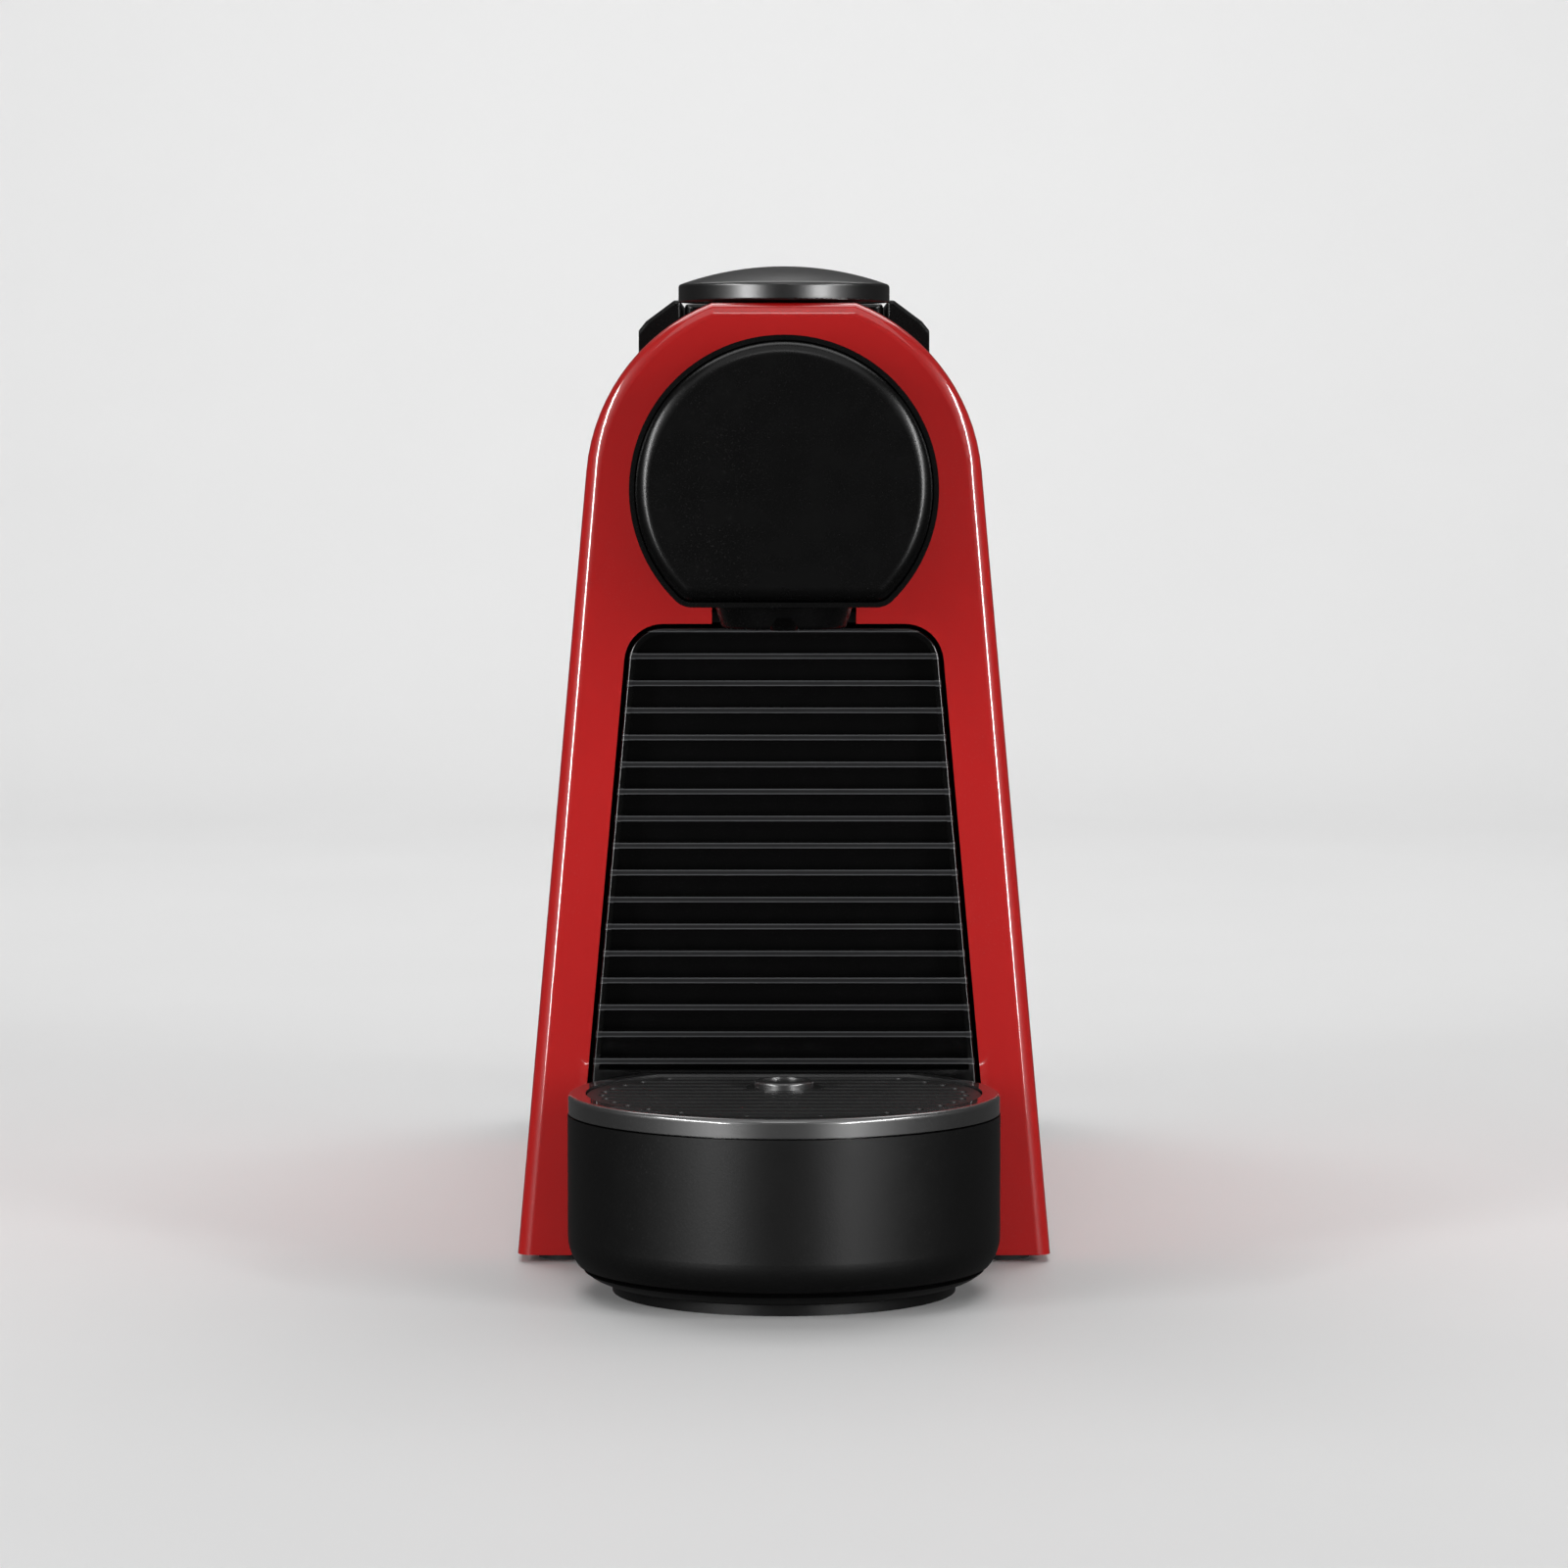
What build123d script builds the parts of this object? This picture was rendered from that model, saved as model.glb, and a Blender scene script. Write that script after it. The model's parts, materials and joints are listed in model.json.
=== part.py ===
"""Pod coffee machine: arched red body, round black head over a drum-shaped drip tray,
a ribbed used-pod bin behind the tray, a top lever with a domed knob, and a rear water tank.

Row frame: millimetres, +Z up, -Y is the user's side, origin at the centre of the footprint
on the surface that the machine stands on.
"""

import os
from math import asin, cos, radians, sin, sqrt, tan

from build123d import *

# ---------------------------------------------------------------- driving dimensions
total_depth = 325.0
front_y = -total_depth / 2
back_y = total_depth / 2

# drip tray drum
tray_radius = 43.2
tray_y = front_y + tray_radius
tray_bottom = 2.2
tray_seam = 35.8
tray_top = 39.5
tray_wall = 2.0
tray_foot_radius = 34.3
tray_fillet = 9.0

# body shell: straight sides that lean in, tangent to a round arch with a small flat on top
face_y = tray_y + 33.5
shell_back = 108.0
shell_bottom = 1.6
shell_wall = 2.5
face_wall = 3.0
arch_z = 159.6
arch_radius = 40.7
arch_flat_z = 197.5
side_lean = 5.13
face_fillet = 3.0

# front opening for the pod bin, parallel to the shell's sides
opening_top = 131.9
opening_half_at_top = 32.1
opening_corner = 8.0
notch_half = 14.8

# head
head_radius = 30.4
head_front = face_y - 48.0
head_flat_z = 136.6
head_wall = 2.0
cap_radius = 29.2
cap_length = 7.0
cap_fillet = 2.8
outlet_y = face_y - 31.0

# pod bin
bin_front = face_y + 0.5
bin_gap = 0.9
bin_back = -3.0
bin_bottom = 3.7
bin_wall = 1.6
panel_depth = 9.0
rib_pitch = 5.565
rib_count = 16
rib_first_z = 125.25
rib_height = 1.1
groove_depth = 7.5

# base
base_low = 1.2
base_high = 3.2
dock_top = 14.0
foot_radius = 5.5

# brew unit, lying along Y
brew_z = 160.0
cage_front = -57.0
cage_length = 30.0
cage_radius = 20.2
cage_travel = 24.0
guide_in = 20.6
guide_out = 22.8
guide_front = -66.0
guide_back = -6.0
tail_in = 12.8
tail_out = 15.2

# lever: a tongue over two side plates that turn on stub pins
pivot_y = 30.0
pivot_z = 172.0
pivot_radius = 3.0
arm_in = 17.2
arm_out = 19.8
tongue_low = 195.0
tongue_high = 197.2
tongue_front = -58.0
tongue_back = 36.0
hood_high = 199.4
hood_half = 21.8
crank = 18.7
crank_swing = 40.0
knob_radius = 22.0
knob_y = face_y + 1.5 + knob_radius
knob_low = 198.1
knob_high = 205.6

# top housing, with a cheek each side of the lever and the button deck behind it
slot_half = 23.7
slot_front = -62.0
slot_back = 96.0
cheek_front = -4.0
cheek_back = 94.0
cheek_in = 22.5
cheek_out = 31.9
cheek_top = 200.2
deck_front = 60.0
deck_back = 93.4
deck_top = 196.3
button_y = 77.0
button_x = 10.0
button_radius = 6.5

# rear shelf, pump and tank
shelf_z = 94.0
tank_front = 110.5
tank_low = 14.6
tank_rim = 178.0
tank_wall = 2.0
valve_y = 130.0
pump_z = 36.0
pump_x = -12.0
hose_z = 7.4
screw_places = [(x, y) for x in (-49.4, 49.4) for y in (-56.0, 94.0)]
play = 0.3


def at_y(y):
    """Plane facing the user, with local x along +X and local y along +Z."""
    return Plane.XZ.offset(-y)


def arch_outline(inset, low, high_inset=None):
    """Leaning sides and round top, moved in by inset, from height low to the flat."""
    r = arch_radius - inset
    lean = radians(side_lean)
    touch = (r * cos(lean), arch_z + r * sin(lean))
    foot = touch[0] + (touch[1] - low) * tan(lean)
    flat_z = arch_flat_z - (inset if high_inset is None else high_inset)
    flat_x = sqrt(r**2 - (flat_z - arch_z) ** 2)
    middle = (lean + asin((flat_z - arch_z) / r)) / 2
    shoulder = (r * cos(middle), arch_z + r * sin(middle))
    with BuildSketch() as outline:
        with BuildLine():
            Polyline((-touch[0], touch[1]), (-foot, low), (foot, low), touch)
            ThreePointArc(touch, shoulder, (flat_x, flat_z))
            Line((flat_x, flat_z), (-flat_x, flat_z))
            ThreePointArc((-flat_x, flat_z), (-shoulder[0], shoulder[1]), (-touch[0], touch[1]))
        make_face()
    return outline.sketch


def opening_outline(inset, low, top_inset=None):
    """Outline parallel to the front opening, moved in by inset, with round top corners."""
    lean = tan(radians(side_lean))
    top = opening_top - (inset if top_inset is None else top_inset)
    half_top = opening_half_at_top - inset + (opening_top - top) * lean
    half_low = half_top + (top - low) * lean
    with BuildSketch() as outline:
        with BuildLine():
            Polyline((-half_top, top), (-half_low, low), (half_low, low), (half_top, top), close=True)
        make_face()
        fillet(outline.vertices().sort_by(Axis.Y)[-2:], max(1.0, opening_corner - inset))
    return outline.sketch


def head_outline(radius, flat_z, corner):
    """Round outline with a flat across the bottom and rounded corners there."""
    with BuildSketch() as outline:
        with Locations((0, arch_z)):
            Circle(radius)
        with Locations((0, flat_z - 2 * radius)):
            Rectangle(4 * radius, 4 * radius, mode=Mode.SUBTRACT)
        fillet(outline.vertices(), corner)
    return outline.sketch


def half_width(z, inset=0.0):
    """Half width of the shell at height z on its straight sides, moved in by inset."""
    lean = radians(side_lean)
    r = arch_radius - inset
    return r * cos(lean) + (arch_z + r * sin(lean) - z) * tan(lean)


# ================================================================ body and base
with BuildPart() as body_shell:
    with BuildSketch(at_y(face_y)):
        add(arch_outline(0, shell_bottom))
    extrude(amount=-(shell_back - face_y))
    rim = body_shell.faces().sort_by(Axis.Y)[0].edges()
    fillet(rim.sort_by(Axis.Z)[1:], face_fillet)
    with BuildSketch(at_y(face_y + face_wall)):
        add(arch_outline(shell_wall, shell_bottom - 5))
    extrude(amount=-(shell_back - face_y), mode=Mode.SUBTRACT)
    with BuildSketch(at_y(face_y)):
        add(opening_outline(0, shell_bottom - 5))
    extrude(amount=-face_wall, both=True, mode=Mode.SUBTRACT)
    with BuildSketch(at_y(face_y)):
        add(head_outline(head_radius + play, head_flat_z - play, 2.0))
    extrude(amount=-face_wall, both=True, mode=Mode.SUBTRACT)
    with BuildSketch(at_y(face_y)):
        with Locations((0, (opening_top + head_flat_z) / 2)):
            Rectangle(2 * notch_half, head_flat_z - opening_top + 4)
    extrude(amount=-face_wall, both=True, mode=Mode.SUBTRACT)
    with BuildSketch(Plane.XY.offset(arch_flat_z - 14)):
        with Locations((0, (slot_front + slot_back) / 2)):
            RectangleRounded(2 * slot_half, slot_back - slot_front, 4)
    extrude(amount=20, mode=Mode.SUBTRACT)
    # screw bosses along the foot of the side walls
    for x, y in screw_places:
        with Locations((x, y, base_high + play)):
            Cylinder(3.4, 14, align=(Align.CENTER, Align.CENTER, Align.MIN))
            Cylinder(1.6, 14, align=(Align.CENTER, Align.CENTER, Align.MIN), mode=Mode.SUBTRACT)

with BuildPart() as base_plate:
    plate_front = face_y + face_wall + play
    with BuildSketch(Plane.XY.offset(base_low)):
        with Locations((0, (plate_front + back_y - 2.5) / 2)):
            Rectangle(2 * half_width(base_low, shell_wall + 0.6), back_y - 2.5 - plate_front)
    extrude(amount=base_high - base_low)
    with BuildSketch(Plane.XY.offset(base_high)):
        with Locations((0, (shell_back + 2 + back_y - 2.5) / 2)):
            RectangleRounded(2 * half_width(dock_top, 2.5), back_y - 2.5 - shell_back - 2, 6)
    extrude(amount=dock_top - base_high)
    with BuildSketch(Plane.XY.offset(base_high)):
        with Locations((0, (shell_back + 4 + back_y - 4.5) / 2)):
            Rectangle(2 * half_width(dock_top, 5), back_y - 4.5 - shell_back - 4)
    extrude(amount=dock_top - base_high - 2, mode=Mode.SUBTRACT)
    with Locations((0, valve_y, dock_top - 3)):
        Cylinder(8.2, 6, align=(Align.CENTER, Align.CENTER, Align.MIN), mode=Mode.SUBTRACT)
    with BuildSketch(at_y(back_y)):
        with Locations((-34, 8.4)):
            Circle(4.3)
    extrude(amount=12, mode=Mode.SUBTRACT)
    with BuildSketch(at_y(shell_back)):
        with Locations((17, hose_z)):
            Circle(3.0)
    extrude(amount=-12, mode=Mode.SUBTRACT)
    for x, y in screw_places:
        with Locations((x, y, 0)):
            Cylinder(1.7, 10, align=(Align.CENTER, Align.CENTER, Align.MIN), mode=Mode.SUBTRACT)
            Cylinder(3.0, base_low + 0.9, align=(Align.CENTER, Align.CENTER, Align.MIN), mode=Mode.SUBTRACT)

foot_places = [(x, y) for x in (-45.5, 45.5) for y in (face_y + 9.5, back_y - 14)]
with BuildPart() as rubber_feet:
    for x, y in foot_places:
        with BuildSketch(Plane.XY):
            with Locations((x, y)):
                Circle(foot_radius)
        extrude(amount=base_low)

with BuildPart() as base_screws:
    for x, y in screw_places:
        with Locations((x, y, base_low + 0.05)):
            Cylinder(2.8, 0.8, align=(Align.CENTER, Align.CENTER, Align.MIN))
            Cylinder(1.4, 12, align=(Align.CENTER, Align.CENTER, Align.MIN))

with BuildPart() as cord_gland:
    with BuildSketch(at_y(back_y - 1.0)):
        with Locations((-34, 8.4)):
            Circle(4.2)
            Circle(2.6, mode=Mode.SUBTRACT)
    extrude(amount=-(-6))

with BuildPart() as rear_panel:
    with BuildSketch(at_y(shell_back - 3)):
        add(arch_outline(shell_wall + play, base_high + play))
    extrude(amount=-2.2)
    with BuildSketch(at_y(shell_back - 3)):
        with GridLocations(0, 6, 1, 8):
            with Locations((0, 120)):
                SlotOverall(44, 2.4)
        with Locations((17, hose_z)):
            Circle(3.0)
    extrude(amount=-2.2, mode=Mode.SUBTRACT)

# ================================================================ inner chassis
chassis_front = face_y + face_wall + play
deck_low = opening_top + 0.6
with BuildPart() as chassis:
    with BuildSketch(at_y(chassis_front)):
        add(opening_outline(-2.4, base_high + 0.1))
    extrude(amount=-(bin_back + 3.5 - chassis_front))
    with BuildSketch(at_y(chassis_front)):
        add(opening_outline(-0.2, base_high - 1))
    extrude(amount=-(bin_back + 1.5 - chassis_front), mode=Mode.SUBTRACT)
    with BuildSketch(Plane.XY.offset(opening_top - 2)):
        with Locations((0, cage_front + cage_travel / 2)):
            RectangleRounded(40, cage_travel + 4, 4)
    extrude(amount=8, mode=Mode.SUBTRACT)

# ================================================================ pod bin with ribbed front
panel_top = opening_top - bin_gap
rib_zs = [rib_first_z - i * rib_pitch for i in range(rib_count)]
with BuildPart() as pod_bin:
    with BuildSketch(at_y(bin_front)):
        add(opening_outline(bin_gap, bin_bottom))
    extrude(amount=-panel_depth)
    fillet(pod_bin.faces().sort_by(Axis.Y)[0].edges().sort_by(Axis.Z)[1:], 0.5)
    with BuildSketch(at_y(bin_front)):
        add(opening_outline(bin_gap + 1.3, rib_zs[-1] - rib_pitch / 2 + 1))
    extrude(amount=-groove_depth, mode=Mode.SUBTRACT)
    # horizontal ribs, each reaching both side rims
    for z in rib_zs:
        half = opening_half_at_top - bin_gap - 0.5 + (opening_top - z) * tan(radians(side_lean))
        with BuildSketch(at_y(bin_front + 0.15)):
            with Locations((0, z)):
                RectangleRounded(2 * half - 0.6, rib_height, 0.3)
        extrude(amount=-(groove_depth + 0.3))
    # bin behind the panel
    with BuildSketch(at_y(bin_front + panel_depth)):
        add(opening_outline(bin_gap, bin_bottom))
    extrude(amount=-(bin_back - bin_front - panel_depth))
    with BuildSketch(at_y(bin_front + panel_depth + 0.2)):
        add(opening_outline(bin_gap + bin_wall, bin_bottom + bin_wall, top_inset=-6))
    extrude(amount=-(bin_back - bin_wall - bin_front - panel_depth - 0.2), mode=Mode.SUBTRACT)
    for x in (-18.0, 18.0):
        with BuildSketch(at_y(bin_front)):
            with Locations((x, 18)):
                Circle(2.4)
        extrude(amount=-panel_depth + 0.6, mode=Mode.SUBTRACT)

# ================================================================ drip tray
tray_cut = face_y - 0.4
with BuildPart() as drip_tray:
    with BuildSketch(Plane.XY.offset(tray_bottom)):
        with Locations((0, tray_y)):
            Circle(tray_radius)
    extrude(amount=tray_seam - 0.4 - tray_bottom)
    fillet(drip_tray.edges().sort_by(Axis.Z)[0], tray_fillet)
    with BuildSketch(Plane.XY):
        with Locations((0, tray_y)):
            Circle(tray_foot_radius)
            Circle(tray_foot_radius - 2.5, mode=Mode.SUBTRACT)
    extrude(amount=tray_bottom + 0.3)
    with BuildSketch(Plane.XY):
        with Locations((0, tray_cut + 30)):
            Rectangle(120, 60)
    extrude(amount=60, mode=Mode.SUBTRACT)
    with BuildSketch(Plane.XY.offset(tray_bottom + 2.2)):
        with Locations((0, tray_y)):
            Circle(tray_radius - tray_wall)
        with Locations((0, tray_cut - tray_wall + 30)):
            Rectangle(120, 60, mode=Mode.SUBTRACT)
    extrude(amount=50, mode=Mode.SUBTRACT)
    for x in (-18.0, 18.0):
        with BuildSketch(at_y(tray_cut - 1)):
            with Locations((x, 18)):
                Circle(2.0)
        extrude(amount=-5)

with BuildPart() as tray_rim:
    with BuildSketch(Plane.XY.offset(tray_seam)):
        with Locations((0, tray_y)):
            Circle(tray_radius)
        with Locations((0, tray_cut + 30)):
            Rectangle(120, 60, mode=Mode.SUBTRACT)
    extrude(amount=tray_top - tray_seam)
    fillet(tray_rim.edges().group_by(Axis.Z)[-1], 1.0)
    with BuildSketch(Plane.XY.offset(tray_seam - 3)):
        with Locations((0, tray_y)):
            Circle(tray_radius - tray_wall - play)
        with Locations((0, tray_cut - tray_wall - play + 30)):
            Rectangle(120, 60, mode=Mode.SUBTRACT)
    extrude(amount=3.2)
    with BuildSketch(Plane.XY.offset(tray_seam - 3)):
        with Locations((0, tray_y)):
            Circle(tray_radius - 3.6)
        with Locations((0, tray_cut - 3.0 + 30)):
            Rectangle(120, 60, mode=Mode.SUBTRACT)
    extrude(amount=20, mode=Mode.SUBTRACT)
    # ledge under the grid
    with BuildSketch(Plane.XY.offset(tray_seam - 2.6)):
        with Locations((0, tray_y)):
            Circle(tray_radius - 3.0)
        with Locations((0, tray_cut - 2.6 + 30)):
            Rectangle(120, 60, mode=Mode.SUBTRACT)
        with Locations((0, tray_y)):
            Circle(tray_radius - 5.6, mode=Mode.SUBTRACT)
    extrude(amount=1.2)

grid_pitch = rib_pitch
grid_top = tray_top - 0.5
grid_low = tray_seam - 1.2
boss_y = tray_y + 12.5
boss_rise = 1.5
with BuildPart() as drip_grid:
    with BuildSketch(Plane.XY.offset(grid_low)):
        with Locations((0, tray_y)):
            Circle(tray_radius - 3.8)
        with Locations((0, tray_cut - 3.3 + 30)):
            Rectangle(120, 60, mode=Mode.SUBTRACT)
    extrude(amount=grid_top - grid_low)
    for i in range(14):
        y = tray_cut - 6.6 - i * grid_pitch
        reach = sqrt(max(0.0, (tray_radius - 6.0) ** 2 - (abs(y - tray_y) + 1.6) ** 2))
        if reach > 6:
            with BuildSketch(Plane.XY.offset(grid_low)):
                with Locations((0, y)):
                    SlotOverall(2 * reach, 3.0)
            extrude(amount=10, mode=Mode.SUBTRACT)
    with BuildSketch(Plane.XY.offset(grid_low)):
        with Locations((0, boss_y)):
            Circle(7.8)
        for x in (-20.0, 20.0):
            with Locations((x, (tray_y - 33 + tray_cut - 4.5) / 2)):
                Rectangle(1.8, tray_cut - 4.5 - tray_y + 33)
    extrude(amount=1.4)
    with BuildSketch(Plane.XY.offset(grid_low)):
        with Locations((0, boss_y)):
            Circle(7.8)
    extrude(amount=grid_top - grid_low)
    with BuildSketch(Plane.XY.offset(grid_low - 1)):
        with Locations((0, boss_y)):
            Circle(6.1)
    extrude(amount=10, mode=Mode.SUBTRACT)

with BuildPart() as grid_eyelet:
    with BuildSketch(Plane.XY.offset(grid_low)):
        with Locations((0, boss_y)):
            Circle(6.0)
    extrude(amount=grid_top + boss_rise - grid_low)
    fillet(grid_eyelet.edges().group_by(Axis.Z)[-1], 0.6)
    with BuildSketch(Plane.XY.offset(grid_top + boss_rise)):
        with Locations((0, boss_y)):
            Circle(4.4)
    extrude(amount=-0.4, mode=Mode.SUBTRACT)

# ================================================================ head
with BuildPart() as head_sleeve:
    with BuildSketch(at_y(head_front + 2.4)):
        add(head_outline(head_radius, head_flat_z, 4.5))
    extrude(amount=-(face_y + face_wall + 3 - head_front - 2.4))
    with BuildSketch(at_y(face_y + face_wall + 0.2)):
        add(head_outline(head_radius + 3.5, head_flat_z - 0.1, 4.5))
    extrude(amount=-2.4)
    with BuildSketch(at_y(head_front)):
        add(head_outline(cap_radius + 0.2, head_flat_z + head_radius - cap_radius - 0.2, 3.8))
    extrude(amount=-cap_length - 1.5, mode=Mode.SUBTRACT)
    with BuildSketch(at_y(head_front)):
        add(head_outline(head_radius - head_wall, head_flat_z + head_wall, 3.0))
    extrude(amount=-60, mode=Mode.SUBTRACT)
    with BuildSketch(Plane.XY.offset(head_flat_z - 1)):
        with Locations((0, outlet_y)):
            Circle(5.4)
    extrude(amount=6, mode=Mode.SUBTRACT)

with BuildPart() as head_cap:
    with BuildSketch(at_y(head_front)):
        add(head_outline(cap_radius, head_flat_z + head_radius - cap_radius, 3.7))
    extrude(amount=-cap_length)
    fillet(head_cap.faces().sort_by(Axis.Y)[0].edges(), cap_fillet)
    with BuildSketch(at_y(head_front + 3.2)):
        add(head_outline(cap_radius - 2.6, head_flat_z + head_radius - cap_radius + 2.6, 2.0))
    extrude(amount=-cap_length, mode=Mode.SUBTRACT)

with BuildPart() as outlet_hood:
    with BuildSketch(Plane.XY.offset(head_flat_z - 0.2)):
        with Locations((0, outlet_y)):
            Ellipse(13.6, 10.5)
    with BuildSketch(Plane.XY.offset(head_flat_z - 4.6)):
        with Locations((0, outlet_y)):
            Ellipse(12.3, 9.3)
    loft()
    fillet(outlet_hood.edges().group_by(Axis.Z)[0], 1.0)
    with BuildSketch(Plane.XY.offset(head_flat_z - 1.6)):
        with Locations((0, outlet_y)):
            Ellipse(11.0, 8.0)
    extrude(amount=-4, mode=Mode.SUBTRACT)
    with BuildSketch(Plane.XY.offset(head_flat_z - 3)):
        with Locations((0, outlet_y)):
            Circle(5.2)
    extrude(amount=4, mode=Mode.SUBTRACT)
    # notch in the front wall that shows the nozzle
    with BuildSketch(at_y(outlet_y - 6)):
        with Locations((0, head_flat_z - 4.4)):
            Trapezoid(9.0, 4.4, 55)
    extrude(amount=8, mode=Mode.SUBTRACT)

with BuildPart() as outlet_nozzle:
    with BuildSketch(Plane.XY.offset(head_flat_z + 5.5)):
        with Locations((0, outlet_y)):
            Circle(4.8)
    extrude(amount=-5.9)
    with BuildSketch(Plane.XY.offset(head_flat_z - 0.4)):
        with Locations((0, outlet_y)):
            Circle(4.8)
    with BuildSketch(Plane.XY.offset(head_flat_z - 5.0)):
        with Locations((0, outlet_y)):
            Circle(2.6)
    loft()
    with BuildSketch(Plane.XY.offset(head_flat_z - 8)):
        with Locations((0, outlet_y)):
            Circle(1.4)
    extrude(amount=12, mode=Mode.SUBTRACT)

duct_z = head_flat_z + 10.5
with BuildPart() as coffee_duct:
    with BuildSketch(Plane.XY.offset(head_flat_z + 5.7)):
        with Locations((0, outlet_y)):
            Circle(5.6)
    extrude(amount=9.6)
    with BuildSketch(at_y(outlet_y)):
        with Locations((0, duct_z)):
            Circle(4.4)
    extrude(amount=-(-62.4 - outlet_y))
    with BuildSketch(at_y(outlet_y)):
        with Locations((0, duct_z)):
            Circle(2.6)
    extrude(amount=-60, mode=Mode.SUBTRACT)
    with BuildSketch(Plane.XY.offset(head_flat_z)):
        with Locations((0, outlet_y)):
            Circle(2.2)
    extrude(amount=10, mode=Mode.SUBTRACT)


# ================================================================ brew unit
with BuildPart() as pierce_plate:
    with BuildSketch(at_y(guide_front + 3.6)):
        with Locations((0, brew_z)):
            Circle(guide_in - play)
        with Locations((0, duct_z)):
            Circle(3.0, mode=Mode.SUBTRACT)
    extrude(amount=-3.0)
    with Locations(at_y(guide_front + 6.6)):
        with Locations((0, brew_z, -0.8)):
            with GridLocations(4.4, 4.4, 5, 5):
                Cone(1.7, 0.3, 1.6, rotation=(180, 0, 0))

with BuildPart() as brew_guide:
    with BuildSketch(at_y(guide_front)):
        with Locations((0, brew_z)):
            Circle(guide_out)
    extrude(amount=-(guide_back - guide_front))
    with BuildSketch(at_y(guide_front + 3.4)):
        with Locations((0, brew_z)):
            Circle(guide_in)
    extrude(amount=-80, mode=Mode.SUBTRACT)
    with BuildSketch(at_y(guide_front)):
        with Locations((0, duct_z)):
            Circle(4.6)
    extrude(amount=-10, mode=Mode.SUBTRACT)
    # pods drop in from above and out below
    with Locations((0, cage_front + cage_travel / 2, brew_z)):
        Box(38.6, cage_travel + 2, 60, mode=Mode.SUBTRACT)
    # pivot plates and legs on both sides
    for side in (-1, 1):
        with BuildSketch(Plane.YZ.offset(side * 21.0)):
            with BuildLine():
                Polyline((-12, 150), (guide_back, 150), (46, 156), (46, 180), (-12, 180), close=True)
            make_face()
            with Locations((pivot_y, pivot_z)):
                Circle(pivot_radius, mode=Mode.SUBTRACT)
        extrude(amount=side * 2.4)
        for y in (guide_front + 2, guide_back - 3.0):
            with Locations((side * 20.7, y, 134.4)):
                Box(4.2, 4, 16, align=(Align.CENTER, Align.CENTER, Align.MIN))

with BuildPart() as pod_cage:
    with BuildSketch(at_y(cage_front)):
        with Locations((0, brew_z)):
            Circle(cage_radius)
    extrude(amount=-cage_length)
    with BuildSketch(at_y(cage_front)):
        with Locations((0, brew_z)):
            Circle(15.6)
    with BuildSketch(at_y(cage_front + 25)):
        with Locations((0, brew_z)):
            Circle(12.2)
    loft(mode=Mode.SUBTRACT)
    with BuildSketch(at_y(cage_front + cage_length)):
        with Locations((0, brew_z)):
            Circle(6.0)
    extrude(amount=-29)
    with BuildSketch(at_y(cage_front + cage_length)):
        with Locations((0, brew_z)):
            Circle(2.3)
    extrude(amount=-40, mode=Mode.SUBTRACT)
    # slotted tail plates that the lever's drive pin pushes
    fork_y = pivot_y - crank * sin(radians(crank_swing))
    for side in (-1, 1):
        with BuildSketch(Plane.YZ.offset(side * tail_in)):
            with BuildLine():
                Polyline(
                    (cage_front + cage_length - 0.5, 153), (-4, 153), (fork_y + 5.6, 176),
                    (fork_y + 5.6, 193), (fork_y - 5.6, 193), (fork_y - 5.6, 182),
                    (-4, 167), (cage_front + cage_length - 0.5, 167), close=True,
                )
            make_face()
            with Locations((fork_y, 190)):
                Rectangle(5.8, 14, mode=Mode.SUBTRACT)
        extrude(amount=side * (tail_out - tail_in))

with BuildPart() as cage_needles:
    with Locations(at_y(cage_front + 25)):
        with Locations((0, brew_z, 2.5)):
            with PolarLocations(7.0, 3, start_angle=90):
                Cone(1.3, 0.2, 5.0)

with BuildPart() as brew_seal:
    with BuildSketch(at_y(cage_front - 1.0)):
        with Locations((0, brew_z)):
            Circle(19.6)
            Circle(16.4, mode=Mode.SUBTRACT)
    extrude(amount=-1.0)

tube_y = -1.0
with BuildPart() as feed_tube:
    with BuildLine():
        FilletPolyline((0, tube_y, brew_z), (0, 56, brew_z), (0, 56, 141.5), radius=6)
    with BuildSketch(at_y(tube_y)):
        with Locations((0, brew_z)):
            Circle(1.9)
            Circle(1.2, mode=Mode.SUBTRACT)
    sweep()

# ================================================================ lever
crank_y = pivot_y - crank * sin(radians(crank_swing))
crank_z = pivot_z + crank * cos(radians(crank_swing))
with BuildPart() as lever_arm:
    with BuildSketch(Plane.XY.offset(tongue_low)):
        with Locations((0, (tongue_front + tongue_back) / 2)):
            RectangleRounded(2 * arm_out, tongue_back - tongue_front, 5)
    extrude(amount=tongue_high - tongue_low)
    # raised hood between the cheeks
    with BuildSketch(Plane.XY.offset(tongue_low)):
        with Locations((0, (cheek_front + tongue_back) / 2)):
            RectangleRounded(2 * hood_half, tongue_back - cheek_front, 2)
    extrude(amount=hood_high - tongue_low)
    fillet(lever_arm.edges().group_by(Axis.Z)[-1], 0.8)
    for side in (-1, 1):
        with BuildSketch(Plane.YZ.offset(side * arm_in)):
            with BuildLine():
                Polyline(
                    (-52, tongue_high - 0.5), (-50, 190), (2, 188), (pivot_y - 9, 166),
                    (pivot_y - 5, 162), (pivot_y + 5, 162), (pivot_y + 9, 166),
                    (30.8, tongue_high - 0.5), close=True,
                )
            make_face()
            with Locations((pivot_y, pivot_z)):
                Circle(pivot_radius + 0.06, mode=Mode.SUBTRACT)
            with Locations((crank_y, crank_z)):
                Circle(2.2, mode=Mode.SUBTRACT)
        extrude(amount=side * (arm_out - arm_in))
    with Locations((0, -49, tongue_high - 0.2)):
        Cylinder(6.5, knob_low - tongue_high + 0.2, align=(Align.CENTER, Align.CENTER, Align.MIN))

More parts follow.
